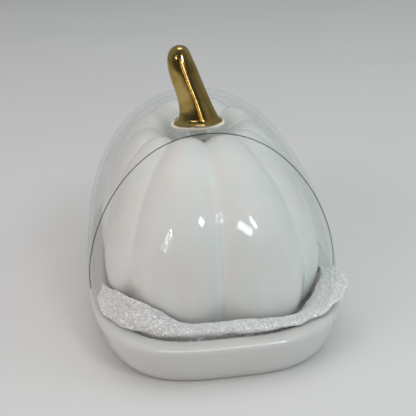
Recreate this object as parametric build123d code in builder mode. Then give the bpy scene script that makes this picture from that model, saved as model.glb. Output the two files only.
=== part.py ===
from build123d import *
import math
import os
from typing import NamedTuple

# Covered ceramic pumpkin: an oblong glazed tray, a loose sheet lying in it, a hollow ribbed
# pumpkin standing on the sheet, and a clear cover over the pumpkin, its skirt ending just above
# the tray's rim. The cover's top is dimpled like the pumpkin's. A gilt stem handle stands in the
# dimple on a clear collar, clamped through the cover by a stud, two washers and a cap nut.
# Frame: millimetres, +Z up, origin at the centre of the tray's foot, X across, Y along.
# The front is towards -Y.

os.makedirs("parts", exist_ok=True)

# Exponent of the oval plan: 2 is an ellipse, more gives straight sides and bowed ends.
PLAN_EXPONENT = 3.3


class Dome(NamedTuple):
    """An oblong dome with a dimple in the middle of its crown."""

    half_width: float
    half_length: float
    spring_z: float  # height where the dome starts to close
    rise: float  # crown above the spring, before the dimple
    dimple_depth: float
    dimple_spread_x: float
    dimple_spread_y: float
    side_power: float  # how fast the height falls towards the long sides

    def height(self, x, y):
        """Height of the surface over the point x, y."""
        along = min(abs(y) / self.half_length, 1.0)
        half_chord = self.half_width * (1 - along**PLAN_EXPONENT) ** (1 / PLAN_EXPONENT)
        across = 1.0 if half_chord <= 0 else min(abs(x) / half_chord, 1.0)
        arch = math.sqrt(1 - along**2.2) * (1 - across * across) ** self.side_power
        spread = (x / self.dimple_spread_x) ** 2 + (y / self.dimple_spread_y) ** 2
        return self.spring_z + self.rise * arch - self.dimple_depth * math.exp(-spread)

    def inset(self, distance, dimple_widening=0.0):
        """The smaller dome that hollows this one out."""
        return self._replace(
            half_width=self.half_width - distance,
            half_length=self.half_length - distance,
            rise=self.rise - distance,
            dimple_spread_x=self.dimple_spread_x + dimple_widening,
            dimple_spread_y=self.dimple_spread_y + dimple_widening,
        )


# ---------------------------------------------------------------- driving dimensions
# Outlines are (half width, half length).

# tray
TRAY_RIM = (56.4, 96.2)
TRAY_RIM_Z = 18.0
TRAY_FLOOR_Z = 7.0
FOOT = (50.0, 89.0)
FOOT_RING_WIDTH = 4.0
FOOT_RECESS_DEPTH = 1.3

# protective sheet
SHEET = (38.8, 75.6)
SHEET_THICKNESS = 1.4
SHEET_GAP = 0.1  # clearance under the sheet, and again over it
SHEET_BOTTOM_Z = TRAY_FLOOR_Z + SHEET_GAP

# ceramic pumpkin
PUMPKIN = Dome(
    half_width=49.0,
    half_length=79.0,
    spring_z=30.0,
    rise=59.7,
    dimple_depth=33.5,
    dimple_spread_x=15.5,
    dimple_spread_y=20.0,
    side_power=0.54,
)
PUMPKIN_FOOT_Z = SHEET_BOTTOM_Z + SHEET_THICKNESS + SHEET_GAP
PUMPKIN_WALL = 7.0  # inset of the smooth hollow; about 4 is left under the grooves
HOLLOW_DIMPLE_WIDENING = 3.0
DIMPLE_END_R = 5.2  # half width of the level ring that ends the surface in the dimple
DIMPLE_END_STRETCH = 1.15  # its half length over its half width
LOBES = 10
POINTS_PER_LOBE = 12
GROOVE_DEPTH = 0.066  # at the belly, as a share of the radius
GROOVE_DROP = 3.4  # over the crown, in height
GROOVE_SHARPNESS = 1.35

# clear cover
COVER = Dome(
    half_width=56.0,
    half_length=88.0,
    spring_z=24.0,
    rise=70.3,
    dimple_depth=23.0,
    dimple_spread_x=18.0,
    dimple_spread_y=22.4,
    side_power=0.588,
)
COVER_BASE_Z = TRAY_RIM_Z + 1.5
COVER_WALL = 2.2
SEAT_R = 6.2  # flat seat at the bottom of the dimple
SEAT_Z = 73.2  # outer face of the seat
SEAT_THICKNESS = 2.6
SEAT_UNDER_Z = SEAT_Z - SEAT_THICKNESS

# fixing of the handle
GAP = 0.05  # between stacked pieces
HOLE_R = 2.3
THREAD_R = 1.98
WASHER_R = 5.6
WASHER_THICKNESS = 1.0
COLLAR_BOTTOM_Z = SEAT_Z + 2 * GAP + WASHER_THICKNESS
COLLAR_TOP_Z = 80.4
COLLAR_NECK_R = 5.5
COLLAR_TOP_R = 12.4
STEM_BORE_START_Z = COLLAR_TOP_Z - 1  # just below the stem, for a clean cut
STEM_BORE_LENGTH = 13.0
NUT_FLATS = 7.0
NUT_HEX_HEIGHT = 3.2
NUT_DOME_R = 3.2
NUT_DOME_HEIGHT = 2.3
NUT_BORE_INTO_DOME = 1.0
NUT_TOP_Z = SEAT_UNDER_Z - 2 * GAP - WASHER_THICKNESS
NUT_HEX_BOTTOM_Z = NUT_TOP_Z - NUT_HEX_HEIGHT
STUD_R = 1.95
STUD_CHAMFER = 0.4
STUD_BOTTOM_Z = NUT_HEX_BOTTOM_Z - 0.9
STUD_TOP_Z = COLLAR_TOP_Z + 11.5


# ---------------------------------------------------------------- rings and lofts
def plan_radius(direction, half_width, half_length, exponent=PLAN_EXPONENT):
    """Distance from the centre to an oval; the direction is an angle from the front."""
    across = (abs(math.sin(direction)) / half_width) ** exponent
    along = (abs(math.cos(direction)) / half_length) ** exponent
    return 1.0 / (across + along) ** (1.0 / exponent)


def oval(directions, half_width, half_length, z=0.0, exponent=PLAN_EXPONENT):
    """Points of a level oval ring."""
    points = []
    for direction in directions:
        radius = plan_radius(direction, half_width, half_length, exponent)
        points.append((radius * math.sin(direction), -radius * math.cos(direction), z))
    return points


def ellipse(angles, half_width, half_length, z):
    """Points of a level ellipse at the given parametric angles from the front."""
    return [(half_width * math.sin(a), -half_length * math.cos(a), z) for a in angles]


def even_directions(count, half_width, half_length):
    """Directions that divide the oval's perimeter evenly, from the middle of the front."""
    steps = 7200
    fine = [2 * math.pi * i / steps for i in range(steps + 1)]
    points = oval(fine, half_width, half_length)
    run = [0.0]  # perimeter covered up to each fine point
    for i in range(steps):
        run.append(run[-1] + math.dist(points[i], points[i + 1]))
    directions = []
    j = 0
    for k in range(count):
        target = run[-1] * k / count
        while run[j + 1] < target:
            j += 1
        fraction = (target - run[j]) / (run[j + 1] - run[j])
        directions.append(2 * math.pi * (j + fraction) / steps)
    return directions


def dome_ring(directions, dome, share, exponent):
    """A ring lying on the dome, over an oval at a share of the dome's outline."""
    plan = oval(
        directions, dome.half_width * share, dome.half_length * share, exponent=exponent
    )
    return [(x, y, dome.height(x, y)) for x, y, _ in plan]


def loft_rings(rings):
    """A solid lofted through closed splines, one for each ring of points."""
    wires = []
    for points in rings:
        with BuildLine() as ring:
            Spline(*points, periodic=True)
        wires.append(ring.wires()[0])
    return Solid.make_loft(wires)


# ---------------------------------------------------------------- tray
# (added half width, added half length, height), measured from the foot's outline
TRAY_FOOT_STATIONS = [(0.0, 0.0, 0.0), (1.3, 1.4, 1.0), (3.0, 3.4, 4.0)]
# (inset across, inset along, height), measured from the rim's outline:
# up the outside, over the lip and down to the floor
TRAY_RIM_STATIONS = [
    (1.9, 2.1, 8.5),
    (0.7, 0.8, 13.0),
    (0.1, 0.1, 16.0),
    (0.5, 0.5, 17.4),
    (1.7, 1.7, TRAY_RIM_Z),
    (4.6, 5.5, TRAY_RIM_Z - 0.3),
    (7.2, 9.2, TRAY_RIM_Z - 1.2),
    (9.4, 12.0, 13.0),
    (11.8, 14.6, 9.2),
    (14.4, 17.0, 7.35),
    (16.6, 19.5, TRAY_FLOOR_Z),
]


def build_tray():
    directions = even_directions(72, *TRAY_RIM)
    rings = [
        oval(directions, FOOT[0] + across, FOOT[1] + along, z)
        for across, along, z in TRAY_FOOT_STATIONS
    ]
    rings += [
        oval(directions, TRAY_RIM[0] - across, TRAY_RIM[1] - along, z)
        for across, along, z in TRAY_RIM_STATIONS
    ]
    recess = oval(directions, FOOT[0] - FOOT_RING_WIDTH, FOOT[1] - FOOT_RING_WIDTH)
    with BuildPart() as tray:
        add(loft_rings(rings))
        # hollow underneath, which leaves a foot ring to stand on
        with BuildSketch(Plane.XY):
            with BuildLine():
                Spline(*recess, periodic=True)
            make_face()
        extrude(amount=FOOT_RECESS_DEPTH, mode=Mode.SUBTRACT)
    return tray.part


# ---------------------------------------------------------------- protective sheet
def build_liner_sheet():
    outline = oval(even_directions(48, *SHEET), *SHEET)
    with BuildPart() as sheet:
        with BuildSketch(Plane.XY.offset(SHEET_BOTTOM_Z)):
            with BuildLine():
                Spline(*outline, periodic=True)
            make_face()
        extrude(amount=SHEET_THICKNESS)
    return sheet.part


# ---------------------------------------------------------------- ceramic pumpkin
# (share of the belly's outline, height above the foot, share of the groove depth)
PUMPKIN_SIDE_STATIONS = [(0.880, 0.0, 0.55), (0.925, 3.0, 0.70), (0.965, 8.0, 0.85), (0.990, 14.0, 0.95)]
# (share of the belly's outline, share of the groove depth, share of the groove drop,
# plan exponent), over the crown and down into the dimple
PUMPKIN_CROWN_STATIONS = [
    (0.985, 1.00, 0.02, 3.30), (0.955, 0.99, 0.05, 3.25), (0.910, 0.96, 0.12, 3.20),
    (0.850, 0.90, 0.25, 3.10), (0.770, 0.82, 0.45, 3.00), (0.680, 0.72, 0.68, 2.85),
    (0.590, 0.62, 0.85, 2.70), (0.500, 0.52, 0.97, 2.55), (0.420, 0.45, 1.00, 2.40),
    (0.345, 0.38, 0.85, 2.25), (0.270, 0.30, 0.60, 2.15), (0.190, 0.15, 0.30, 2.05),
]


def grooved(ring, depth, drop=0.0):
    """The ring drawn in by a share of its radius, and lowered, in the grooves between lobes."""
    points = []
    for k, (x, y, z) in enumerate(ring):
        # 1 in a groove and 0 over a lobe's back
        groove = (1 - abs(math.sin(math.pi * k / POINTS_PER_LOBE))) ** GROOVE_SHARPNESS
        scale = 1 - depth * groove
        points.append((x * scale, y * scale, z - drop * groove))
    return points


def pumpkin_rings(directions, dome, foot_z, depth, drop):
    """Rings from the open foot, round the belly, over the crown and down into the dimple."""
    sides = [(share, foot_z + rise, deepness) for share, rise, deepness in PUMPKIN_SIDE_STATIONS]
    sides.append((1.0, dome.spring_z, 1.0))
    rings = []
    for share, z, deepness in sides:
        level = oval(directions, dome.half_width * share, dome.half_length * share, z)
        rings.append(grooved(level, depth * deepness))
    for share, deepness, lowering, exponent in PUMPKIN_CROWN_STATIONS:
        ring = dome_ring(directions, dome, share, exponent)
        rings.append(grooved(ring, depth * deepness, drop * lowering))
    end_z = dome.height(0.8 * DIMPLE_END_R, 0.0)
    end_half_length = DIMPLE_END_R * DIMPLE_END_STRETCH
    rings.append(ellipse(directions, DIMPLE_END_R, end_half_length, end_z))
    return rings


def build_pumpkin_body():
    directions = even_directions(
        LOBES * POINTS_PER_LOBE, PUMPKIN.half_width, PUMPKIN.half_length
    )
    hollow = PUMPKIN.inset(PUMPKIN_WALL, HOLLOW_DIMPLE_WIDENING)
    outer = pumpkin_rings(directions, PUMPKIN, PUMPKIN_FOOT_Z, GROOVE_DEPTH, GROOVE_DROP)
    # the hollow is smooth, and starts below the foot to leave it open underneath
    inner = pumpkin_rings(directions, hollow, PUMPKIN_FOOT_Z - 1.0, 0.0, 0.0)
    with BuildPart() as pumpkin:
        add(loft_rings(outer))
        add(loft_rings(inner), mode=Mode.SUBTRACT)
    return pumpkin.part


# ---------------------------------------------------------------- clear cover
# (share of the skirt's outline, plan exponent), from the skirt to the dimple
COVER_STATIONS = [
    (0.995, 3.30), (0.980, 3.30), (0.955, 3.30), (0.915, 3.25), (0.860, 3.20),
    (0.790, 3.10), (0.710, 3.00), (0.620, 2.85), (0.535, 2.70), (0.455, 2.50),
    (0.380, 2.40), (0.305, 2.25), (0.235, 2.15), (0.170, 2.05),
]


def cover_rings(directions, dome, base_z, seat_z):
    """Rings up the skirt, over the smooth dome and down to the flat seat in the dimple."""
    skirt_heights = (base_z, 0.5 * (base_z + dome.spring_z), dome.spring_z)
    rings = [oval(directions, dome.half_width, dome.half_length, z) for z in skirt_heights]
    rings += [dome_ring(directions, dome, share, exponent) for share, exponent in COVER_STATIONS]
    rings.append(ellipse(directions, SEAT_R, SEAT_R, seat_z))
    return rings


def build_cover_dome():
    directions = even_directions(72, COVER.half_width, COVER.half_length)
    outer = cover_rings(directions, COVER, COVER_BASE_Z, SEAT_Z)
    # the hollow starts below the skirt to leave it open underneath
    hollow = COVER.inset(COVER_WALL)
    inner = cover_rings(directions, hollow, COVER_BASE_Z - 2.0, SEAT_UNDER_Z)
    with BuildPart() as cover:
        add(loft_rings(outer))
        add(loft_rings(inner), mode=Mode.SUBTRACT)
        # hole for the stud, cut from above the seat right through it
        with BuildSketch(Plane.XY.offset(SEAT_Z + 5)):
            Circle(HOLE_R)
        extrude(amount=-12, mode=Mode.SUBTRACT)
    return cover.part


# ---------------------------------------------------------------- seal washers
def build_washer(bottom_z):
    with BuildPart() as washer:
        with BuildSketch(Plane.XY.offset(bottom_z)):
            Circle(WASHER_R)
            Circle(HOLE_R, mode=Mode.SUBTRACT)
        extrude(amount=WASHER_THICKNESS)
    return washer.part


def build_collar_gasket():
    return build_washer(SEAT_Z + GAP)


def build_nut_gasket():
    return build_washer(SEAT_UNDER_Z - GAP - WASHER_THICKNESS)


# ---------------------------------------------------------------- clear collar under the stem
def build_stem_collar():
    # half profile as (radius, height)
    bottom_inner = (HOLE_R, COLLAR_BOTTOM_Z)
    bottom_outer = (COLLAR_NECK_R, COLLAR_BOTTOM_Z)
    neck_top = (COLLAR_NECK_R, COLLAR_TOP_Z - 3.6)
    flare_middle = (COLLAR_NECK_R + 1.1, COLLAR_TOP_Z - 1.9)
    edge_bottom = (COLLAR_TOP_R - 1.0, COLLAR_TOP_Z - 1.1)
    edge_middle = (COLLAR_TOP_R, COLLAR_TOP_Z - 0.55)
    edge_top = (COLLAR_TOP_R - 1.0, COLLAR_TOP_Z)
    top_inner = (HOLE_R, COLLAR_TOP_Z)
    with BuildPart() as collar:
        with BuildSketch(Plane.XZ):
            with BuildLine():
                Line(bottom_inner, bottom_outer)
                Line(bottom_outer, neck_top)
                Spline(neck_top, flare_middle, edge_bottom, tangents=((0, 1), (1, 0.05)))
                Spline(edge_bottom, edge_middle, edge_top, tangents=((1, 0.05), (-1, 0)))
                Line(edge_top, top_inner)
                Line(top_inner, bottom_inner)
            make_face()
        revolve(axis=Axis.Z)
    return collar.part


# ---------------------------------------------------------------- gilt stem handle
# (x of the centre, y of the centre, half width, half depth, height,
# flute depth as a share of the radius)
STEM_STATIONS = [
    (0.0, 0.0, 11.3, 11.0, COLLAR_TOP_Z + GAP, 0.050),
    (0.0, 0.0, 10.4, 10.1, 81.5, 0.070),
    (0.1, 0.0, 8.9, 8.7, 83.6, 0.075),
    (-0.3, 0.1, 7.9, 7.9, 86.6, 0.070),
    (-1.2, 0.4, 7.35, 7.3, 90.6, 0.060),
    (-2.6, 0.9, 7.0, 6.9, 95.4, 0.050),
    (-4.2, 1.6, 6.8, 6.6, 100.4, 0.045),
    (-5.5, 2.4, 6.55, 6.4, 105.2, 0.035),
    (-6.4, 3.0, 5.8, 5.8, 109.4, 0.025),
    (-6.6, 3.4, 4.9, 4.9, 112.4, 0.015),
    (-6.4, 3.6, 3.3, 3.4, 114.6, 0.0),
    (-6.2, 3.7, 1.3, 1.4, 115.6, 0.0),
]
STEM_POINTS = 60
FLUTES = 5
FLUTE_TWIST = 0.02  # phase gained per mm of height, radians
FLUTE_PHASE = 0.9  # phase at FLUTE_PHASE_Z
FLUTE_PHASE_Z = 80.0


def stem_ring(centre_x, centre_y, half_width, half_depth, z, flute_depth):
    """A level fluted ring of the stem; the flutes twist a little with height."""
    phase = FLUTE_TWIST * (z - FLUTE_PHASE_Z) + FLUTE_PHASE
    points = []
    for k in range(STEM_POINTS):
        angle = 2 * math.pi * k / STEM_POINTS
        scale = 1 + flute_depth * math.cos(FLUTES * angle + phase)
        x = centre_x + half_width * scale * math.cos(angle)
        y = centre_y + half_depth * scale * math.sin(angle)
        points.append((x, y, z))
    return points


def build_stem_handle():
    with BuildPart() as stem:
        add(loft_rings([stem_ring(*station) for station in STEM_STATIONS]))
        # blind hole for the stud
        with BuildSketch(Plane.XY.offset(STEM_BORE_START_Z)):
            Circle(THREAD_R)
        extrude(amount=STEM_BORE_LENGTH, mode=Mode.SUBTRACT)
    return stem.part


# ---------------------------------------------------------------- stud
def build_handle_stud():
    with BuildPart() as stud:
        with BuildSketch(Plane.XY.offset(STUD_BOTTOM_Z)):
            Circle(STUD_R)
        extrude(amount=STUD_TOP_Z - STUD_BOTTOM_Z)
        chamfer(stud.edges().filter_by(GeomType.CIRCLE), STUD_CHAMFER)
    return stud.part


# ---------------------------------------------------------------- cap nut inside the cover
def build_cap_nut():
    # half profile of the domed cap as (radius, height)
    centre = (0, NUT_HEX_BOTTOM_Z)
    edge = (NUT_DOME_R, NUT_HEX_BOTTOM_Z)
    shoulder = (NUT_DOME_R * 0.74, NUT_HEX_BOTTOM_Z - 1.5)
    tip = (0, NUT_HEX_BOTTOM_Z - NUT_DOME_HEIGHT)
    with BuildPart() as nut:
        with BuildSketch(Plane.XY.offset(NUT_TOP_Z)):
            RegularPolygon(NUT_FLATS / 2, 6, major_radius=False)
        extrude(amount=-NUT_HEX_HEIGHT)
        with BuildSketch(Plane.XZ):
            with BuildLine():
                Line(centre, edge)
                Spline(edge, shoulder, tip, tangents=((0, -1), (-1, 0)))
                Line(tip, centre)
            make_face()
        revolve(axis=Axis.Z)
        with BuildSketch(Plane.XY.offset(NUT_TOP_Z)):
            Circle(THREAD_R)
        extrude(amount=-(NUT_HEX_HEIGHT + NUT_BORE_INTO_DOME), mode=Mode.SUBTRACT)
    return nut.part


# ---------------------------------------------------------------- export
PIECES = {
    "tray": build_tray,
    "liner_sheet": build_liner_sheet,
    "pumpkin_body": build_pumpkin_body,
    "cover_dome": build_cover_dome,
    "collar_gasket": build_collar_gasket,
    "nut_gasket": build_nut_gasket,
    "stem_collar": build_stem_collar,
    "stem_handle": build_stem_handle,
    "handle_stud": build_handle_stud,
    "cap_nut": build_cap_nut,
}
for name, build in PIECES.items():
    part = build()
    part.label = name
    export_step(part, f"parts/{name}.step")
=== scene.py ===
"""A lidded dish: a ribbed white pumpkin on a glazed tray, under a clear domed cover.

The tray stands on z = 0 with its long side along Y, and the camera looks from the front (-Y).
The cover carries a clear collar and a gilt stem, and a foam sheet lies between tray and pumpkin.
Shapes are laid out in millimetres and turned into metres as meshes are made. Directions around
the plan, called phi, run from the front (-Y) towards +X.
"""
import math

import bmesh
import bpy
from mathutils import Matrix, Vector, noise


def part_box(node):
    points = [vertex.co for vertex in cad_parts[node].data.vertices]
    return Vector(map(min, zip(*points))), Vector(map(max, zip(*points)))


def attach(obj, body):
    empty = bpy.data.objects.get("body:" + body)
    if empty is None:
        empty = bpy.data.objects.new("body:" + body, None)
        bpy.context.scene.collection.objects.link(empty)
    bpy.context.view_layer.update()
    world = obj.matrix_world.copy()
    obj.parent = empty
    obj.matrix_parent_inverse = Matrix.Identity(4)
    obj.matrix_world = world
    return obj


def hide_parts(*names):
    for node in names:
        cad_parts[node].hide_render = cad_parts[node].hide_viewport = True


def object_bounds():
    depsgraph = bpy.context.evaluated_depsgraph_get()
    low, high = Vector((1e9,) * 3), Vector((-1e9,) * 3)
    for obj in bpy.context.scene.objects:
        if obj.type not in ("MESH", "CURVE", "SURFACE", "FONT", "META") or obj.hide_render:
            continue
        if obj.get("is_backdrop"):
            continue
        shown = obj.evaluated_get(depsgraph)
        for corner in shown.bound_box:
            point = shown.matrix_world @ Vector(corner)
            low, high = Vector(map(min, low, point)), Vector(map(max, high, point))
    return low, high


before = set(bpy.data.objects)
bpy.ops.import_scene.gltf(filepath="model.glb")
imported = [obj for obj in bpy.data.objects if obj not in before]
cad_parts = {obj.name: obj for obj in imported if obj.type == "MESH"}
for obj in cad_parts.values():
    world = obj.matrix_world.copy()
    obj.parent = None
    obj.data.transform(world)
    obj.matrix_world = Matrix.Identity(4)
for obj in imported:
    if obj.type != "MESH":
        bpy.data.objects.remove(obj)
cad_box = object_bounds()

MM = 0.001
PLAN_POWER = 3.3  # exponent of the rounded-oblong plan

# ------------------------------------------------------------------ driving sizes, mm
# HALF_X and HALF_Y are half the width and half the length of a plan.
TRAY_HALF_X, TRAY_HALF_Y = 56.4, 96.2
FOOT_HALF_X, FOOT_HALF_Y = 50.0, 89.0
AROUND = 288  # points around the tray and the cover

PUMPKIN_HALF_X, PUMPKIN_HALF_Y = 49.0, 79.0
PUMPKIN_FOOT_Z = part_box("pumpkin_body")[0].z / MM

COVER_HALF_X, COVER_HALF_Y = 56.0, 88.0
COVER_BASE_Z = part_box("cover_dome")[0].z / MM

collar_low, collar_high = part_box("stem_collar")
COLLAR_BASE_Z = collar_low.z / MM
COLLAR_TOP_Z = collar_high.z / MM


# ------------------------------------------------------------------ plan curves
def plan_radius(phi, half_x, half_y, power=PLAN_POWER):
    """Distance from the middle to the superellipse in direction phi."""
    across = (abs(math.sin(phi)) / half_x) ** power
    along = (abs(math.cos(phi)) / half_y) ** power
    return 1.0 / (across + along) ** (1.0 / power)


def polar(phi, radius):
    return radius * math.sin(phi), -radius * math.cos(phi)


def plan_point(phi, half_x, half_y, power=PLAN_POWER):
    return polar(phi, plan_radius(phi, half_x, half_y, power))


def half_width(y, half_x, half_y):
    """Half the width of the plan at a given y."""
    return half_x * (1 - (abs(y) / half_y) ** PLAN_POWER) ** (1 / PLAN_POWER)


def even_directions(count, half_x, half_y):
    """Directions that space points evenly along the plan's edge."""
    fine = 7200
    points = [plan_point(2 * math.pi * i / fine, half_x, half_y) for i in range(fine + 1)]
    run = [0.0]
    for start, end in zip(points, points[1:]):
        run.append(run[-1] + math.dist(start, end))
    directions = []
    j = 0
    for k in range(count):
        target = run[-1] * k / count
        while run[j + 1] < target:
            j += 1
        part = (target - run[j]) / (run[j + 1] - run[j])
        directions.append(2 * math.pi * (j + part) / fine)
    return directions


def oval(phis, half_x, half_y, z):
    return [(*plan_point(phi, half_x, half_y), z) for phi in phis]


def circle(phis, radius, z):
    return [(*polar(phi, radius), z) for phi in phis]


def dome_height(x, y, half_x, half_y, spring, rise, dimple, dimple_x, dimple_y, power):
    """Height of a dome over the plan, with a soft hollow sunk in its middle."""
    along = abs(y) / half_y
    across = abs(x) / half_width(y, half_x, half_y)
    z = spring + rise * math.sqrt(1 - along**2.2) * (1 - across * across) ** power
    return z - dimple * math.exp(-((x / dimple_x) ** 2) - (y / dimple_y) ** 2)


# ------------------------------------------------------------------ meshes
def catmull_rom(before, start, end, after, t):
    """The point at t between start and end on a smooth curve through all four."""
    return tuple(
        0.5 * (2 * b + (c - a) * t + (2 * a - 5 * b + 4 * c - d) * t * t
               + (3 * b - a - 3 * c + d) * t**3)
        for a, b, c, d in zip(before, start, end, after)
    )


def densify(rings, steps):
    """Catmull-Rom between rings, so the skin is smooth along the profile."""
    dense = []
    for i in range(len(rings) - 1):
        nearby = (rings[max(i - 1, 0)], rings[i], rings[i + 1], rings[min(i + 2, len(rings) - 1)])
        for step in range(steps):
            dense.append([catmull_rom(*points, step / steps) for points in zip(*nearby)])
    dense.append(list(rings[-1]))
    return dense


def add_object(name, data):
    obj = bpy.data.objects.new(name, data)
    bpy.context.scene.collection.objects.link(obj)
    return obj


def object_from(bm, name):
    mesh = bpy.data.meshes.new(name)
    bm.to_mesh(mesh)
    bm.free()
    return add_object(name, mesh)


def shade_smooth(mesh):
    for poly in mesh.polygons:
        poly.use_smooth = True


def skin(name, rings, loop=False):
    """Quads between rings of points in mm; a loop joins last to first, otherwise ends are capped."""
    bm = bmesh.new()
    rows = [[bm.verts.new(Vector(point) * MM) for point in ring] for ring in rings]
    count = len(rings[0])
    pairs = list(zip(rows, rows[1:]))
    if loop:
        pairs.append((rows[-1], rows[0]))
    for lower, upper in pairs:
        for k in range(count):
            m = (k + 1) % count
            bm.faces.new((lower[k], lower[m], upper[m], upper[k]))
    if not loop:
        for row, flip in ((rows[0], True), (rows[-1], False)):
            middle = bm.verts.new(sum((vert.co for vert in row), Vector()) / count)
            for k in range(count):
                m = (k + 1) % count
                bm.faces.new((row[m], row[k], middle) if flip else (row[k], row[m], middle))
    bmesh.ops.recalc_face_normals(bm, faces=bm.faces)
    obj = object_from(bm, name)
    shade_smooth(obj.data)
    return obj


def wear(obj, material, body, slot, *nodes):
    """Give a piece its material, the body it rides on and the CAD nodes it replaces."""
    obj.data.materials.clear()
    obj.data.materials.append(material)
    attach(obj, body)
    if nodes:
        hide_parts(*nodes)
    return obj


# ------------------------------------------------------------------ shader building
def grey(level):
    return (level,) * 3


class Shader:
    """A node tree being built. A socket given as a value is linked; anything else is set."""

    def __init__(self, tree, output):
        self.tree = tree
        self.output = output

    def feed(self, socket, value):
        if isinstance(value, bpy.types.NodeSocket):
            self.tree.links.new(value, socket)
        else:
            socket.default_value = value

    def add(self, kind, **values):
        """A node with its properties and inputs; underscores stand for spaces in input names."""
        node = self.tree.nodes.new(kind)
        for key, value in values.items():
            if hasattr(node, key):
                setattr(node, key, value)
            else:
                self.feed(node.inputs[key.replace("_", " ")], value)
        return node

    def coords(self, output="Object"):
        return self.add("ShaderNodeTexCoord").outputs[output]

    def stretch(self, vector, scale):
        return self.add("ShaderNodeMapping", Scale=scale, Vector=vector).outputs["Vector"]

    def noise(self, vector, scale, detail, roughness=0.5):
        node = self.add("ShaderNodeTexNoise", Scale=scale, Detail=detail, Roughness=roughness,
                        Vector=vector)
        return node.outputs["Fac"]

    def voronoi(self, vector, scale, output="Distance"):
        return self.add("ShaderNodeTexVoronoi", Scale=scale, Vector=vector).outputs[output]

    def ramp(self, source, stops):
        """A colour ramp; each stop is (position, colour)."""
        node = self.add("ShaderNodeValToRGB", Fac=source)
        elements = node.color_ramp.elements
        while len(elements) < len(stops):
            elements.new(0.5)
        for element, (position, colour) in zip(elements, stops):
            element.position = position
            element.color = (*colour, 1)
        return node.outputs["Color"]

    def mix(self, factor, first, second, blend="MIX"):
        node = self.add("ShaderNodeMix", data_type="RGBA", blend_type=blend, Factor=factor)
        # the colour sockets of a mix node are inputs 6 and 7 and output 2
        self.feed(node.inputs[6], first)
        self.feed(node.inputs[7], second)
        return node.outputs[2]

    def math(self, operation, first, second):
        node = self.add("ShaderNodeMath", operation=operation)
        self.feed(node.inputs[0], first)
        self.feed(node.inputs[1], second)
        return node.outputs[0]

    def mix_shader(self, factor, first, second):
        node = self.add("ShaderNodeMixShader", Fac=factor)
        self.feed(node.inputs[1], first)
        self.feed(node.inputs[2], second)
        return node.outputs[0]

    def bump(self, height, strength, distance, **values):
        node = self.add("ShaderNodeBump", Strength=strength, Distance=distance, Height=height,
                        **values)
        return node.outputs["Normal"]

    def principled(self, **values):
        self.surface(self.add("ShaderNodeBsdfPrincipled", **values).outputs["BSDF"])

    def surface(self, closure):
        self.tree.links.new(closure, self.output.inputs["Surface"])


def new_material(name):
    mat = bpy.data.materials.new(name)
    mat.use_nodes = True
    tree = mat.node_tree
    tree.nodes.clear()
    return mat, Shader(tree, tree.nodes.new("ShaderNodeOutputMaterial"))


# ------------------------------------------------------------------ materials
def glazed_ceramic(name, base, shade, bare=None, grooved=False):
    """White glaze over cast clay: glaze gathered in the grooves and painted lighter there, faint
    pinholes, slow waviness of the surface.

    bare is the pair of heights, in metres, between which bare clay gives way to glaze.
    """
    mat, shader = new_material(name)
    coords = shader.coords()
    slow = shader.noise(coords, scale=26.0, detail=3.0)
    fine = shader.noise(coords, scale=420.0, detail=4.0, roughness=0.6)
    specks = shader.voronoi(coords, scale=330.0)
    colour = shader.ramp(slow, [(0.30, shade), (0.70, base)])
    if grooved:
        # glaze gathers in the grooves with a cooler tint; the grooves are also painted lighter than
        # the lobes, painted light lifting the shade that falls in them
        groove = shader.add("ShaderNodeAttribute", attribute_name="groove").outputs["Fac"]
        pool_and_painted_light = shader.ramp(groove, [(0.55, grey(0)), (1.0, grey(0.55))])
        colour = shader.mix(pool_and_painted_light, colour, (0.87, 0.90, 0.895, 1))
        # the glaze has run down the lobes and left faint warm and cool streaks
        drawn = shader.stretch(coords, (95.0, 95.0, 7.0))
        runs = shader.noise(drawn, scale=1.0, detail=4.0, roughness=0.55)
        hue = shader.ramp(runs, [
            (0.32, (1.0, 0.955, 0.935)), (0.5, (1, 1, 1)), (0.68, (0.945, 0.985, 0.975)),
        ])
        colour = shader.mix(1.0, colour, hue, blend="MULTIPLY")
    pinholes = shader.ramp(specks, [(0.0, (0.80, 0.78, 0.74)), (0.045, (1, 1, 1))])
    colour = shader.mix(0.55, colour, pinholes, blend="MULTIPLY")
    roughness = shader.ramp(fine, [(0.35, grey(0.36)), (0.75, grey(0.48))])
    if bare is not None:
        # the foot ring is wiped clean of glaze
        height = shader.add("ShaderNodeSeparateXYZ", Vector=coords).outputs["Z"]
        clay = shader.add(
            "ShaderNodeMapRange", Value=height,
            From_Min=bare[0], From_Max=bare[1], To_Min=1.0, To_Max=0.0,
        ).outputs["Result"]
        colour = shader.mix(clay, colour, (0.62, 0.58, 0.52, 1))
        roughness = shader.mix(clay, roughness, (0.75, 0.75, 0.75, 1))
    waves = shader.bump(slow, strength=0.02, distance=0.0010)
    grain = shader.bump(fine, strength=0.035, distance=0.0002, Normal=waves)
    shader.principled(
        Base_Color=colour, Roughness=roughness, IOR=1.52, Specular_IOR_Level=0.30,
        Coat_Weight=0.95, Coat_Roughness=0.010,
        Subsurface_Weight=0.06, Subsurface_Radius=(0.004, 0.0035, 0.003),
        Normal=grain, Coat_Normal=waves,
    )
    return mat


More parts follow.
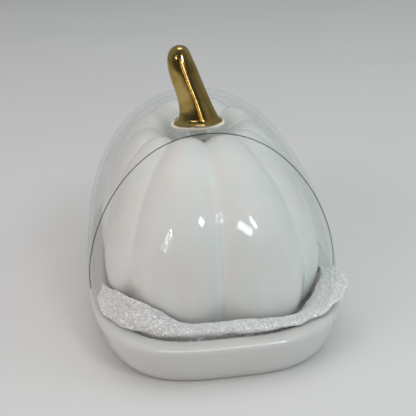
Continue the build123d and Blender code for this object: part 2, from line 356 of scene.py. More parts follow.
def clear_wall(name, tint, edge_painted_shade, haze, power=4.0,
               veil_kind="ShaderNodeBsdfTranslucent", veil_colour=(0.86, 0.88, 0.88, 1)):
    """A clear moulded wall: sees through, mirrors softly, and is painted darker where it is met edge
    on, painted shade for how a clear wall darkens at its outline.

    haze is the strength of the veil; a higher power keeps the edge effects nearer the outline.
    """
    mat, shader = new_material(name)
    facing = shader.add("ShaderNodeLayerWeight", Blend=0.5).outputs["Facing"]
    edge = shader.math("POWER", facing, power)
    flow = shader.noise(shader.coords(), scale=34.0, detail=2.0)

    # the see-through colour goes darker towards the outline: painted shade
    halfway = tuple(0.5 * (a + b) for a, b in zip(tint, edge_painted_shade))
    through = shader.ramp(edge, [(0.0, tint), (0.55, halfway), (1.0, edge_painted_shade)])
    clear = shader.add("ShaderNodeBsdfTransparent", Color=through)
    shine = shader.add(
        "ShaderNodeBsdfGlossy", Roughness=0.015, Color=(0.95, 0.97, 0.97, 1),
        Normal=shader.bump(flow, strength=0.04, distance=0.0008),
    )
    mirror = shader.ramp(edge, [(0.0, grey(0.012)), (0.5, grey(0.025)), (1.0, grey(0.06))])
    glass = shader.mix_shader(mirror, clear.outputs[0], shine.outputs[0])

    veil = shader.add(veil_kind, Color=veil_colour)
    film = shader.ramp(flow, [(0.3, grey(haze * 0.7)), (0.7, grey(haze * 1.3))])
    slant = shader.ramp(edge, [
        (0.0, grey(0)), (0.12, grey(haze * 4.5)), (0.5, grey(haze * 9.0)), (1.0, grey(haze * 7.0)),
    ])
    dust = shader.math("ADD", film, slant)
    shader.surface(shader.mix_shader(dust, glass, veil.outputs[0]))
    return mat


def metal(name, base, dark, roughness):
    """Polished metal with drawn-out polishing marks and a little tarnish in spots."""
    mat, shader = new_material(name)
    coords = shader.coords()
    drawn = shader.stretch(coords, (60.0, 60.0, 9.0))
    marks = shader.noise(drawn, scale=9.0, detail=6.0, roughness=0.65)
    spots = shader.noise(coords, scale=160.0, detail=3.0)
    polish = [(0.3, grey(roughness * 0.75)), (0.75, grey(roughness * 1.5))]
    shader.principled(
        Metallic=1.0,
        Base_Color=shader.ramp(spots, [(0.30, dark), (0.56, base)]),
        Roughness=shader.ramp(marks, polish),
        Normal=shader.bump(marks, strength=0.10, distance=0.0003),
    )
    return mat


def foam_material(name):
    """Thin open-cell foam: bright cell walls with painted shade in the open cells, and a few grains
    that glow faintly as painted sparkle.
    """
    mat, shader = new_material(name)
    coords = shader.coords()
    cells = shader.voronoi(coords, scale=1150.0)
    grains = shader.voronoi(coords, scale=1500.0, output="Color")
    cloud = shader.noise(coords, scale=70.0, detail=3.0)
    # painted shade: the open cells are coloured darker than the cell walls
    pore_shade = shader.ramp(cells, [
        (0.05, (0.53, 0.525, 0.52)), (0.45, (0.75, 0.745, 0.74)), (0.8, (0.90, 0.90, 0.89)),
    ])
    mottled = shader.ramp(cloud, [(0.3, (0.86, 0.86, 0.87)), (0.7, (1, 1, 1))])
    # a few grains, picked by their random colour, glow faintly: painted sparkle
    pick = shader.add("ShaderNodeSeparateColor", Color=grains).outputs[0]
    painted_sparkle = shader.ramp(pick, [(0.90, grey(0)), (0.97, grey(1))])
    shader.principled(
        Base_Color=shader.mix(1.0, pore_shade, mottled, blend="MULTIPLY"), Roughness=0.75,
        Sheen_Weight=0.35,
        Subsurface_Weight=0.25, Subsurface_Radius=(0.003, 0.003, 0.003),
        Emission_Strength=shader.math("MULTIPLY", painted_sparkle, 0.30), Emission_Color=(1, 1, 1, 1),
        Normal=shader.bump(cells, strength=0.5, distance=0.0004),
    )
    return mat


def soft_plastic(name, colour):
    """Slightly see-through plastic with a fine grain."""
    mat, shader = new_material(name)
    grain = shader.noise(shader.coords(), scale=700.0, detail=3.0)
    shade = tuple(0.9 * channel for channel in colour)
    shader.principled(
        Base_Color=shader.ramp(grain, [(0.3, shade), (0.7, colour)]), Roughness=0.4,
        Transmission_Weight=0.35,
        Normal=shader.bump(grain, strength=0.1, distance=0.0001),
    )
    return mat


def floor_material():
    mat, shader = new_material("pale_floor")
    mottle = shader.noise(shader.coords(), scale=3.0, detail=3.0)
    tone = shader.ramp(mottle, [(0.3, (0.71, 0.705, 0.70)), (0.7, (0.75, 0.745, 0.74))])
    shader.principled(Base_Color=tone, Roughness=0.55)
    return mat


pumpkin_mat = glazed_ceramic(
    "pumpkin_glaze", base=(0.80, 0.795, 0.775), shade=(0.74, 0.73, 0.705), grooved=True)
# painted shade: the tray's glaze is made greyer than the pumpkin's to stand for the shade on its
# undercut front
tray_mat = glazed_ceramic(
    "tray_glaze", base=(0.66, 0.66, 0.64), shade=(0.615, 0.61, 0.59), bare=(0.0004, 0.0009))
cover_mat = clear_wall(
    "clear_cover", tint=(0.992, 0.994, 0.994), edge_painted_shade=(0.90, 0.915, 0.92), haze=0.016)
# the bead's grey see-through tint is painted shade: the thin dark line a clear corner shows
ridge_mat = clear_wall(
    "clear_cover_bead", tint=(0.56, 0.58, 0.59), edge_painted_shade=(0.27, 0.29, 0.30), haze=0.004,
    power=1.5)
# the collar's warm tint and warm veil are painted reflection of the gilt stem seen in the clear neck
collar_mat = clear_wall(
    "clear_collar", tint=(0.985, 0.975, 0.955), edge_painted_shade=(0.82, 0.79, 0.74), haze=0.20,
    power=2.6, veil_kind="ShaderNodeBsdfDiffuse", veil_colour=(0.96, 0.88, 0.76, 1))
gold_mat = metal(
    "gilt_stem", base=(0.52, 0.39, 0.14), dark=(0.38, 0.255, 0.075), roughness=0.17)
brass_mat = metal(
    "brass_fixing", base=(0.95, 0.78, 0.50), dark=(0.86, 0.66, 0.36), roughness=0.30)
foam_mat = foam_material("foam_sheet")
gasket_mat = soft_plastic("silicone", (0.93, 0.92, 0.90))

# ------------------------------------------------------------------ tray
UNDERSIDE_Z = 1.3
# Profile stations: step out from the half width, step out from the half length, z.
TRAY_FOOT_PROFILE = [
    (-4.0, -4.0, UNDERSIDE_Z), (-3.7, -3.7, 0.35), (-3.0, -3.0, 0.0), (-0.8, -0.8, 0.0),
    (0.35, 0.35, 0.2), (1.3, 1.4, 1.0), (3.0, 3.4, 4.0),
]
# Up the outside, over the rim and in across the floor, measured from the tray's own plan.
TRAY_RIM_PROFILE = [
    (-1.9, -2.1, 8.5), (-0.7, -0.8, 13.0), (-0.1, -0.1, 16.0), (-0.5, -0.5, 17.4),
    (-1.7, -1.7, 18.0), (-4.6, -5.5, 17.7), (-7.2, -9.2, 16.8), (-9.4, -12.0, 13.0),
    (-11.8, -14.6, 9.2), (-14.4, -17.0, 7.35), (-16.6, -19.5, 7.0), (-26.0, -30.0, 7.0),
    (-42.0, -60.0, 7.0),
]


def build_tray():
    phis = even_directions(AROUND, TRAY_HALF_X, TRAY_HALF_Y)
    underside = [
        oval(phis, half_x, half_y, UNDERSIDE_Z)
        for half_x, half_y in (
            (14.0, 40.0),
            (FOOT_HALF_X - 12.0, FOOT_HALF_Y - 14.0),
            (FOOT_HALF_X - 4.8, FOOT_HALF_Y - 4.8),
        )
    ]
    profile = [
        oval(phis, FOOT_HALF_X + out_x, FOOT_HALF_Y + out_y, z)
        for out_x, out_y, z in TRAY_FOOT_PROFILE
    ] + [
        oval(phis, TRAY_HALF_X + out_x, TRAY_HALF_Y + out_y, z)
        for out_x, out_y, z in TRAY_RIM_PROFILE
    ]
    return skin("tray_body", underside + densify(profile, 4))


# ------------------------------------------------------------------ ribbed pumpkin
LOBES, PER_LOBE = 10, 36
BELLY_Z = 30.0  # height of the widest ring, where the crown springs
PUMPKIN_RISE = 59.7
PUMPKIN_DIMPLE = 33.5
PUMPKIN_DIMPLE_X, PUMPKIN_DIMPLE_Y = 15.5, 20.0
PUMPKIN_WALL = 7.0
INNER_DIMPLE_EXTRA = 3.0  # the inner skin's hollow is this much wider
GROOVE_DEPTH = 0.066  # share of the radius
GROOVE_DROP = 3.4
PUMPKIN_MIDDLE_R = 5.2  # innermost ring of the crown

# Below the belly: share of the plan, height above the foot, share of the groove depth.
PUMPKIN_SIDE = [
    (0.880, 0.0, 0.55), (0.925, 3.0, 0.70), (0.965, 8.0, 0.85), (0.990, 14.0, 0.95),
]
# Above it: share of the plan, share of the groove depth, share of the drop, plan exponent.
PUMPKIN_CROWN = [
    (0.985, 1.0, 0.02, 3.3), (0.955, 0.99, 0.05, 3.25), (0.91, 0.96, 0.12, 3.2),
    (0.85, 0.9, 0.25, 3.1), (0.77, 0.82, 0.45, 3.0), (0.68, 0.72, 0.68, 2.85),
    (0.59, 0.62, 0.85, 2.7), (0.50, 0.52, 0.97, 2.55), (0.42, 0.45, 1.0, 2.4),
    (0.345, 0.38, 0.85, 2.25), (0.27, 0.3, 0.6, 2.15), (0.19, 0.15, 0.3, 2.05),
]


def groove_at(k):
    """One at the bottom of each groove, falling to zero on the lobe."""
    return (1 - abs(math.sin(math.pi * k / PER_LOBE))) ** 1.35


def pumpkin_rings(phis, inset, dimple_extra, depth, drop):
    """Rings from the foot up to the middle of the crown, all set in by the inset."""
    half_x, half_y = PUMPKIN_HALF_X - inset, PUMPKIN_HALF_Y - inset

    def crown(x, y):
        return dome_height(
            x, y, half_x, half_y, spring=BELLY_Z, rise=PUMPKIN_RISE - inset,
            dimple=PUMPKIN_DIMPLE, dimple_x=PUMPKIN_DIMPLE_X + dimple_extra,
            dimple_y=PUMPKIN_DIMPLE_Y + dimple_extra, power=0.54)

    def lobed_ring(share, height, ring_depth, ring_drop, power):
        ring = []
        for k, phi in enumerate(phis):
            x, y = plan_point(phi, half_x * share, half_y * share, power)
            pull = 1 - ring_depth * groove_at(k)
            ring.append((x * pull, y * pull, height(x, y) - ring_drop * groove_at(k)))
        return ring

    side = [(share, PUMPKIN_FOOT_Z + above, groove) for share, above, groove in PUMPKIN_SIDE]
    side.append((1.0, BELLY_Z, 1.0))
    rings = [
        lobed_ring(share, lambda x, y: z, depth * groove, 0, PLAN_POWER)
        for share, z, groove in side
    ]
    for share, groove, drop_share, power in PUMPKIN_CROWN:
        rings.append(lobed_ring(share, crown, depth * groove, drop * drop_share, power))
    radius = PUMPKIN_MIDDLE_R
    middle_z = crown(0.8 * radius, 0.0)
    rings.append([
        (radius * math.sin(phi), -radius * 1.15 * math.cos(phi), middle_z) for phi in phis
    ])
    return rings


def build_pumpkin():
    """A lobed outer skin and a plain inner one, joined at the foot."""
    count = LOBES * PER_LOBE
    phis = even_directions(count, PUMPKIN_HALF_X, PUMPKIN_HALF_Y)
    outer = densify(pumpkin_rings(
        phis, inset=0.0, dimple_extra=0.0, depth=GROOVE_DEPTH, drop=GROOVE_DROP), 5)
    inner = densify(pumpkin_rings(
        phis, inset=PUMPKIN_WALL, dimple_extra=INNER_DIMPLE_EXTRA, depth=0.0, drop=0.0), 2)
    inner.reverse()
    obj = skin("pumpkin", inner + outer)
    # the glaze reads the groove depth; the inner skin and the two cap points have none
    grooves = [groove_at(k) for k in range(count)]
    values = [0.0] * (len(inner) * count) + grooves * len(outer) + [0.0, 0.0]
    layer = obj.data.attributes.new("groove", "FLOAT", "POINT")
    layer.data.foreach_set("value", values)
    return obj


# ------------------------------------------------------------------ clear cover
SPRING_Z = 24.0  # where the straight wall ends and the dome begins
COVER_RISE = 70.3
COVER_DIMPLE = 23.0
COVER_DIMPLE_X, COVER_DIMPLE_Y = 18.0, 22.4
COVER_WALL = 2.2
SEAT_R, SEAT_Z, SEAT_WALL = 6.2, 73.2, 2.6  # flat round the stem hole
HOLE_R = 2.3

# Dome stations: share of the plan, plan exponent.
COVER_CROWN = [
    (0.995, 3.3), (0.98, 3.3), (0.955, 3.3), (0.915, 3.25), (0.86, 3.2), (0.79, 3.1),
    (0.71, 3.0), (0.62, 2.85), (0.535, 2.7), (0.455, 2.5), (0.38, 2.4), (0.305, 2.25),
    (0.235, 2.15), (0.17, 2.05),
]

RIDGE_Y = -40.0
RIDGE_RADIUS = 0.00026  # metres
RIDGE_STEPS = 150


def cover_height(x, y, inset=0.0):
    return dome_height(
        x, y, COVER_HALF_X - inset, COVER_HALF_Y - inset, spring=SPRING_Z,
        rise=COVER_RISE - inset, dimple=COVER_DIMPLE, dimple_x=COVER_DIMPLE_X,
        dimple_y=COVER_DIMPLE_Y, power=0.588)


def cover_skin(phis, inset, seat_z):
    """Rings from the base up to the edge of the stem hole."""
    half_x, half_y = COVER_HALF_X - inset, COVER_HALF_Y - inset
    wall_heights = (COVER_BASE_Z, 0.5 * (COVER_BASE_Z + SPRING_Z), SPRING_Z)
    rings = [oval(phis, half_x, half_y, z) for z in wall_heights]
    for share, power in COVER_CROWN:
        points = [plan_point(phi, half_x * share, half_y * share, power) for phi in phis]
        rings.append([(x, y, cover_height(x, y, inset)) for x, y in points])
    rings.append(circle(phis, SEAT_R, seat_z))
    return densify(rings, 4) + [circle(phis, HOLE_R, seat_z)]


def build_cover():
    phis = even_directions(AROUND, COVER_HALF_X, COVER_HALF_Y)
    outer = cover_skin(phis, 0.0, SEAT_Z)
    inner = cover_skin(phis, COVER_WALL, SEAT_Z - SEAT_WALL)
    inner.reverse()
    # one ring midway through the wall joins the two skins at the base
    half_wall = COVER_WALL / 2
    base_ring = oval(phis, COVER_HALF_X - half_wall, COVER_HALF_Y - half_wall, COVER_BASE_Z)
    return skin("clear_cover", outer + inner + [base_ring], loop=True)


def build_ridge():
    """The thin ridge that crosses the front half of the cover, from one side's foot to the other."""
    half = half_width(RIDGE_Y, COVER_HALF_X, COVER_HALF_Y)
    leg = (COVER_BASE_Z + 0.3, COVER_BASE_Z + 2.2, SPRING_Z - 0.3)
    path = [(-half, z) for z in leg]
    for i in range(1, RIDGE_STEPS):
        x = half * -math.cos(math.pi * i / RIDGE_STEPS)
        path.append((x, cover_height(x, RIDGE_Y)))
    path += [(half, z) for z in reversed(leg)]

    curve = bpy.data.curves.new("cover_ridge", "CURVE")
    curve.dimensions = "3D"
    curve.bevel_depth = RIDGE_RADIUS
    curve.bevel_resolution = 4
    curve.use_fill_caps = True
    spline = curve.splines.new("POLY")
    spline.points.add(len(path) - 1)
    for point, (x, z) in zip(spline.points, path):
        point.co = (x * MM, RIDGE_Y * MM, z * MM, 1)
    wire = add_object("cover_ridge_curve", curve)
    deps = bpy.context.evaluated_depsgraph_get()
    mesh = bpy.data.meshes.new_from_object(wire.evaluated_get(deps))
    bpy.data.objects.remove(wire)
    shade_smooth(mesh)
    return add_object("cover_ridge", mesh)


# ------------------------------------------------------------------ collar and stem
COLLAR_AROUND = 96
# Radius, height above the collar's base.
COLLAR_LOWER = [(HOLE_R, 0.0), (4.8, 0.0), (5.4, 0.25), (5.5, 0.8)]
# Radius, depth below the collar's top.
COLLAR_UPPER = [
    (5.5, 3.6), (5.7, 2.7), (6.6, 1.9), (8.6, 1.4), (11.4, 1.1), (12.1, 0.9), (12.4, 0.55),
    (12.1, 0.15), (11.4, 0.0), (7.0, 0.0), (HOLE_R, 0.0),
]

STEM_AROUND = 120
# Centre x, centre y, half size in x, half size in y, z, flute depth as a share of the radius.
STEM_SECTIONS = [
    (0.0, 0.0, 10.9, 10.6, COLLAR_TOP_Z + 0.05, 0.050),
    (0.0, 0.0, 11.3, 11.0, COLLAR_TOP_Z + 0.55, 0.060),
    (0.0, 0.0, 10.9, 10.6, COLLAR_TOP_Z + 1.0, 0.070),
    (0.1, 0.0, 9.7, 9.5, 82.3, 0.078), (0.1, 0.0, 8.9, 8.7, 83.6, 0.078),
    (-0.3, 0.1, 7.95, 7.9, 86.6, 0.072), (-1.2, 0.4, 7.35, 7.3, 90.6, 0.062),
    (-2.6, 0.9, 7.0, 6.9, 95.4, 0.050), (-4.2, 1.6, 6.8, 6.6, 100.4, 0.040),
    (-5.5, 2.4, 6.55, 6.4, 105.2, 0.030), (-6.4, 3.0, 5.8, 5.8, 109.4, 0.020),
    (-6.6, 3.4, 4.9, 4.9, 112.4, 0.010), (-6.45, 3.6, 3.5, 3.6, 114.45, 0.0),
    (-6.3, 3.7, 2.1, 2.2, 115.3, 0.0), (-6.2, 3.7, 0.8, 0.9, 115.6, 0.0),
]


def turns(count):
    """Evenly spaced angles from +X towards +Y."""
    return [2 * math.pi * k / count for k in range(count)]


def build_collar():
    profile = [(radius, COLLAR_BASE_Z + above) for radius, above in COLLAR_LOWER]
    profile += [(radius, COLLAR_TOP_Z - below) for radius, below in COLLAR_UPPER]
    rings = [
        [(radius * math.cos(t), radius * math.sin(t), z) for t in turns(COLLAR_AROUND)]
        for radius, z in profile
    ]
    return skin("stem_seat", densify(rings, 3), loop=True)


def flute(t, z, depth):
    """Five broad flutes with eight faint ones over them, both twisting with height."""
    broad = 0.62 * depth * math.cos(5 * t + 0.02 * (z - 80.0) + 0.9)
    faint = 0.14 * depth * math.cos(8 * t + 0.05 * z)
    return 1 + broad + faint


def build_stem():
    rings = []
    for centre_x, centre_y, half_x, half_y, z, depth in STEM_SECTIONS:
        ring = []
        for t in turns(STEM_AROUND):
            swell = flute(t, z, depth)
            x = centre_x + half_x * swell * math.cos(t)
            y = centre_y + half_y * swell * math.sin(t)
            ring.append((x, y, z))
        rings.append(ring)
    return skin("gilt_stem", densify(rings, 6))


# ------------------------------------------------------------------ foam sheet
# Turned up between pumpkin and rim. Directions here are in degrees from the front.
# Direction, height of the free edge against the pumpkin.
EDGE_Z = [
    (-54, 21.0), (-46, 24.0), (-33, 29.5), (-25, 29.5), (-19, 27.0), (-13, 22.0), (-9, 19.0),
    (-3, 19.5), (7, 18.0), (18, 15.0), (25, 14.0), (32, 17.0), (40, 22.0), (58, 22.0),
]
# Direction, how far short of the rim's outer edge the fold turns.
TURN_IN = [
    (-54, 5.0), (-46, 2.0), (-40, 1.2), (-32, 4.5), (-21, 9.0), (-12, 8.4), (-6, 8.6), (1, 8.2),
    (7, 6.4), (14, 6.4), (21, 5.4), (30, 1.0), (35, -3.2), (40, -5.4), (46, -4.6), (52, 2.0),
]
TURN_IN_ELSEWHERE = 8.0
# The pumpkin's skin near its foot, as the sheet meets it: z, share of the pumpkin's plan.
PUMPKIN_REACH = [(8.6, 0.880), (11.6, 0.925), (16.6, 0.965), (22.6, 0.990), (30.0, 1.0)]
GUTTER_Z = 8.6  # height at which the sheet clears the pumpkin's foot
FLAT_EDGE_Z = 10.5  # free edge where the sheet is not turned up
SHEET_Z = 7.85  # the flat part, under the pumpkin
SPAN = 260  # columns around
ACROSS = 34  # steps from the flat part to the free edge
FOAM_THICKNESS = 0.0012  # metres

SETTLE_FRAMES = 14
HELD_STEPS = 9  # steps held fast while the sheet settles
CLEARANCE = 0.0006  # metres
MAX_SHIFT = 0.0016  # metres


def ease(t):
    t = min(max(t, 0.0), 1.0)
    return t * t * (3 - 2 * t)


def window(value, low, high, soft):
    """One between low and high, easing to zero at both over the soft width."""
    return ease((value - low) / soft) * ease((high - value) / soft)


def piecewise(table, value):
    """Look a value up in a two-column table, easing between its entries."""
    if value <= table[0][0]:
        return table[0][1]
    for (x0, y0), (x1, y1) in zip(table, table[1:]):
        if value <= x1:
            return y0 + (y1 - y0) * ease((value - x0) / (x1 - x0))
    return table[-1][1]


def pumpkin_reach(phi, z):
    share = piecewise(PUMPKIN_REACH, z)
    return plan_radius(phi, PUMPKIN_HALF_X * share, PUMPKIN_HALF_Y * share)


def sheet_stations(phi):
    """How far the sheet is turned up at phi (0 to 1), and its (radius, z) stations outwards."""
    deg = math.degrees((phi + math.pi) % (2 * math.pi) - math.pi)
    front = window(deg, -56.0, 56.0, 8.0)
    back = 0.55 * (window(deg, 138.0, 400.0, 14.0) + window(deg, -400.0, -138.0, 14.0))
    up = min(front + back, 1.0)
    tab = window(deg, 26.0, 54.0, 9.0)  # a part of the fold that stands higher, front right
    edge_z = FLAT_EDGE_Z + (piecewise(EDGE_Z, deg) - FLAT_EDGE_Z) * up

    slope = plan_radius(phi, TRAY_HALF_X - 11.6, TRAY_HALF_Y - 14.4)
    turn_in = piecewise(TURN_IN, deg) if front > 0 else TURN_IN_ELSEWHERE
    turn_out = plan_radius(phi, TRAY_HALF_X, TRAY_HALF_Y) - turn_in
    turn = min(plan_radius(phi, TRAY_HALF_X - 8.4, TRAY_HALF_Y - 11.0), turn_out)
    top = pumpkin_reach(phi, edge_z) + 1.7 - 1.3 * window(deg, 38.0, 62.0, 7.0)
    mid = 0.5 * (turn_out + top)
    mid_z = 0.5 * (edge_z + 18.6 + 1.2 * tab) + 0.9
    return up, [
        (plan_radius(phi, 36.0, 66.0), SHEET_Z),
        (plan_radius(phi, 40.5, 73.5), SHEET_Z),
        (pumpkin_reach(phi, GUTTER_Z) + 1.0, 7.95 + 0.5 * up),
        (slope, 8.7 + 1.4 * up),
        (slope + (turn - slope) * up, 9.2 + 6.2 * up),
        (slope + (turn_out - slope) * up, 9.6 + (9.3 + 2.2 * tab) * up),
        (slope + (mid - slope) * up, 10.0 + (mid_z - 10.0) * up),
        (slope + (top - slope) * up, edge_z),
    ]


def lay_sheet():
    """The sheet as laid, a single surface with a ruffled free edge."""
    bm = bmesh.new()
    rows = []
    for i in range(SPAN):
        phi = 2 * math.pi * i / SPAN
        up, line = sheet_stations(phi)
        last = len(line) - 1
        row = []
        for k in range(ACROSS + 1):
            along = k / ACROSS * last
            j = min(int(along), last - 1)
            radius, z = catmull_rom(
                line[max(j - 1, 0)], line[j], line[j + 1], line[min(j + 2, last)], along - j)
            x, y = polar(phi, radius)
            free = ease((k / ACROSS - 0.42) / 0.2)
            broad = 0.9 * noise.noise(Vector((x * 0.12, y * 0.12, 2.0)))
            small = 0.45 * noise.noise(Vector((x * 0.35, y * 0.35, 7.0)))
            z += free * up * (broad + small)
            row.append(bm.verts.new((x * MM, y * MM, z * MM)))
        rows.append(row)
    for i in range(SPAN):
        m = (i + 1) % SPAN
        for k in range(ACROSS):
            bm.faces.new((rows[i][k], rows[m][k], rows[m][k + 1], rows[i][k + 1]))
    middle = bm.verts.new((0, 0, SHEET_Z * MM))
    for i in range(SPAN):
        bm.faces.new((rows[(i + 1) % SPAN][0], rows[i][0], middle))
    bmesh.ops.recalc_face_normals(bm, faces=bm.faces)
    return object_from(bm, "foam_sheet")


def settle(sheet, solids):
    """Let the sheet settle between the tray and the pumpkin's foot."""
    mesh = sheet.data
    held = sheet.vertex_groups.new(name="held")
    for vert in mesh.vertices:
        # the middle point comes after all the rows and is held like their inner ends
        j = vert.index % (ACROSS + 1) if vert.index < SPAN * (ACROSS + 1) else 0
        if j <= HELD_STEPS:
            held.add([vert.index], 1.0, "REPLACE")
        elif j >= ACROSS:
            held.add([vert.index], 0.5, "REPLACE")
    colliders = []
    for source in solids:
        solid = add_object(source.name + "_stop", source.data.copy())
        solid.modifiers.new("Collision", "COLLISION")
        solid.collision.thickness_outer = CLEARANCE
        solid.collision.cloth_friction = 25.0
        colliders.append(solid)
    cloth = sheet.modifiers.new("Cloth", "CLOTH")
    settings = cloth.settings
    settings.quality = 5
    settings.mass = 0.01
    settings.tension_stiffness = 12
    settings.compression_stiffness = 8
    settings.shear_stiffness = 6
    settings.bending_stiffness = 0.6
    settings.shrink_min = -0.02
    settings.vertex_group_mass = "held"
    settings.effector_weights.gravity = 0.3
    cloth.collision_settings.distance_min = CLEARANCE
    cloth.point_cache.frame_start = 1
    cloth.point_cache.frame_end = SETTLE_FRAMES
    for step in range(1, SETTLE_FRAMES + 1):
        bpy.context.scene.frame_set(step)
    deps = bpy.context.evaluated_depsgraph_get()
    settled = [vert.co.copy() for vert in sheet.evaluated_get(deps).data.vertices]
    sheet.modifiers.remove(cloth)
    # stiff foam: no point wanders far from where it was laid
    for vert, goal in zip(mesh.vertices, settled):
        move = goal - vert.co
        if move.length > MAX_SHIFT:
            move *= MAX_SHIFT / move.length
        vert.co += move
    for solid in colliders:
        bpy.data.objects.remove(solid)
    bpy.context.scene.frame_set(1)


def thicken(sheet):
    """Give the sheet its thickness and a faintly uneven surface."""
    thick = sheet.modifiers.new("Thickness", "SOLIDIFY")
    thick.thickness = FOAM_THICKNESS
    thick.offset = 0.0
    even = sheet.modifiers.new("Even", "SUBSURF")
    even.levels = even.render_levels = 1
    deps = bpy.context.evaluated_depsgraph_get()
    final = bpy.data.meshes.new_from_object(sheet.evaluated_get(deps))
    sheet.modifiers.clear()
    sheet.data = final
    normals = [vert.normal.copy() for vert in final.vertices]
    for vert, normal in zip(final.vertices, normals):
        place = vert.co / MM
        bumps = noise.noise(Vector((place.x * 1.3, place.y * 1.3, place.z * 1.3)))
        vert.co += normal * (0.00018 * bumps)
    shade_smooth(final)


# ------------------------------------------------------------------ the pieces
tray = wear(build_tray(), tray_mat, "base", "tray_glaze", "tray")
pumpkin = wear(build_pumpkin(), pumpkin_mat, "pumpkin", "pumpkin_glaze", "pumpkin_body")
wear(build_cover(), cover_mat, "cover", "clear", "cover_dome")
wear(build_ridge(), ridge_mat, "cover", "clear")
wear(build_collar(), collar_mat, "cover", "clear_collar", "stem_collar")
stem = wear(build_stem(), gold_mat, "cover", "gilt", "stem_handle")

# the fixing keeps the CAD's own pieces and only takes its finishes
for node_name, material in (
    ("handle_stud", brass_mat), ("cap_nut", brass_mat),
    ("collar_gasket", gasket_mat), ("nut_gasket", gasket_mat),
):
    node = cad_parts[node_name]
    node.data.materials.clear()
    node.data.materials.append(material)

foam_sheet = lay_sheet()
settle(foam_sheet, (tray, pumpkin))
thicken(foam_sheet)
wear(foam_sheet, foam_mat, "base", "foam", "liner_sheet")


# ------------------------------------------------------------------ floor and world, metres
def build_floor():
    bm = bmesh.new()
    bmesh.ops.create_grid(bm, x_segments=2, y_segments=2, size=3.0)
    floor = object_from(bm, "floor")
    floor.data.materials.append(floor_material())
    floor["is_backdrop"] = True


def build_world():
    world = bpy.data.worlds.new("studio")
    bpy.context.scene.world = world
    world.use_nodes = True
    nodes = world.node_tree.nodes
    shader = Shader(world.node_tree, nodes["World Output"])
    sky = nodes["Background"]
    sky.inputs["Color"].default_value = (0.82, 0.85, 0.875, 1)
    sky.inputs["Strength"].default_value = 0.44
    # polished surfaces mirror a dimmer room than the one that lights them, darkest at the front
    direction = shader.coords("Generated")
    along = shader.add("ShaderNodeSeparateXYZ", Vector=direction).outputs["Y"]
    depth = shader.add("ShaderNodeMapRange", Value=along, From_Min=-1.0, From_Max=1.0)
    walls = shader.ramp(depth.outputs["Result"], [
        (0.0, (0.07, 0.06, 0.05)), (0.22, (0.15, 0.135, 0.12)), (0.40, (0.46, 0.46, 0.43)),
        (0.55, (0.70, 0.70, 0.67)), (0.8, (0.74, 0.76, 0.77)),
    ])
    room = shader.add("ShaderNodeBackground", Color=walls, Strength=0.40)
    mirrored = shader.add("ShaderNodeLightPath").outputs["Is Glossy Ray"]
    shader.surface(shader.mix_shader(mirrored, sky.outputs[0], room.outputs[0]))


# ------------------------------------------------------------------ lights, metres
DISH_CENTRE = Vector((0.0, 0.0, 0.045))
STEM_CENTRE = Vector((-0.003, 0.0, 0.098))
# The point on the front of the dish that the window and the ring light face.
GLINT = Vector((0.0, -0.068, 0.058))
GLINT_DISTANCE = 0.80


def lamp(name, place, size, power, colour, size_y=None, spin=0.0, aim=DISH_CENTRE,
         mirrored=True, diffuse=True, only_on=None):
    """A rectangular area light; with only_on its light falls on that one piece alone."""
    data = bpy.data.lights.new(name, "AREA")
    data.shape = "RECTANGLE"
    data.size = size
    data.size_y = size_y or size
    data.energy = power
    data.color = colour
    obj = add_object(name, data)
    facing = (aim - Vector(place)).normalized().to_track_quat("-Z", "Y").to_matrix()
    obj.rotation_euler = (facing @ Matrix.Rotation(spin, 3, "Z")).to_euler()
    obj.location = place
    obj.visible_glossy = mirrored
    obj.visible_diffuse = diffuse
    if only_on:
        group = bpy.data.collections.new(name + "_on")
        group.objects.link(only_on)
        obj.light_linking.receiver_collection = group


def build_ring_light(outer, inner, strength, segments=48):
    """A glowing oval ring at the front left, mirrored in the glaze."""
    bm = bmesh.new()
    edge = []
    for t in turns(segments):
        edge.append([
            bm.verts.new((radius * math.cos(t), radius * math.sin(t), 0))
            for radius in (outer, inner)
        ])
    for k in range(segments):
        m = (k + 1) % segments
        bm.faces.new((edge[k][0], edge[m][0], edge[m][1], edge[k][1]))
    obj = object_from(bm, "ring_light")
    mat, shader = new_material("ring_glow")
    shader.surface(shader.add("ShaderNodeEmission", Strength=strength).outputs[0])
    obj.data.materials.append(mat)
    place = GLINT + GLINT_DISTANCE * Vector((-0.60, -0.54, 0.58))
    obj.rotation_euler = (GLINT - place).normalized().to_track_quat("-Z", "Y").to_euler()
    obj.location = place
    obj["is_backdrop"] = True
    obj.scale = (0.72, 1.45, 1.0)


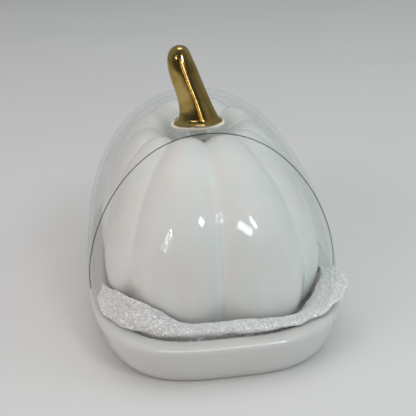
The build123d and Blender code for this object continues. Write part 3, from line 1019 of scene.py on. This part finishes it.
def build_lights():
    lamp("soft_top", (0.05, 0.15, 1.25), size=1.3, power=4.6, colour=(1.0, 0.995, 0.98),
         mirrored=False)
    lamp("soft_left", (-0.95, -0.45, 0.50), size=0.7, power=3.0, colour=(1.0, 0.78, 0.68),
         mirrored=False)
    lamp("soft_right", (0.95, -0.25, 0.55), size=0.7, power=2.1, colour=(0.74, 1.0, 0.95),
         mirrored=False)
    lamp("window", GLINT + GLINT_DISTANCE * Vector((0.40, -0.64, 0.645)), size=0.086,
         size_y=0.148, power=1.02, colour=(0.90, 0.97, 1.0), spin=math.radians(32), aim=GLINT)
    lamp("stem_streak", (0.20, -0.76, 0.34), size=0.055, size_y=0.44, power=0.75,
         colour=(1.0, 0.98, 0.86), aim=STEM_CENTRE, only_on=stem)
    lamp("stem_warm", (-0.10, -0.80, 0.30), size=0.030, size_y=0.55, power=0.40,
         colour=(1.0, 0.68, 0.38), aim=STEM_CENTRE, only_on=stem)
    lamp("stem_flare", (0.04, 0.10, 0.62), size=0.26, power=0.60, colour=(1.0, 0.92, 0.76),
         aim=Vector((0.0, 0.0, 0.083)), only_on=stem)
    lamp("rim_strip", (-0.06, -0.50, 0.80), size=0.80, size_y=0.20, power=4.5,
         colour=(1.0, 0.99, 0.97), aim=Vector((0.0, -0.09, 0.018)), diffuse=False, only_on=tray)
    build_ring_light(outer=0.052, inner=0.043, strength=26.0)


# ------------------------------------------------------------------ camera, metres
CAMERA_PLACE = Vector((-0.0333, -0.3567, 0.1866))
CAMERA_FORWARD = Vector((0.0932, 0.9178, -0.3859)).normalized()
CAMERA_LEVEL_RIGHT = Vector((0.9949, -0.1011, 0.0)).normalized()
CAMERA_ROLL = math.radians(2.66)


def build_camera():
    data = bpy.data.cameras.new("camera")
    data.lens = 69.2
    data.sensor_width = 36.0
    data.clip_start = 0.01
    camera = add_object("camera", data)
    level_up = CAMERA_LEVEL_RIGHT.cross(CAMERA_FORWARD).normalized()
    cos_roll, sin_roll = math.cos(CAMERA_ROLL), math.sin(CAMERA_ROLL)
    right = CAMERA_LEVEL_RIGHT * cos_roll - level_up * sin_roll
    up = level_up * cos_roll + CAMERA_LEVEL_RIGHT * sin_roll
    basis = Matrix((right, up, -CAMERA_FORWARD)).transposed()
    camera.matrix_world = Matrix.Translation(CAMERA_PLACE) @ basis.to_4x4()
    bpy.context.scene.camera = camera


build_floor()
build_world()
build_lights()
build_camera()
bpy.context.scene.view_settings.view_transform = "Standard"


def plain(value):
    if isinstance(value, (int, float)):
        return float(value)
    return [plain(v) for v in value]


{"cad": plain(cad_box), "visual": plain(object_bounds())}
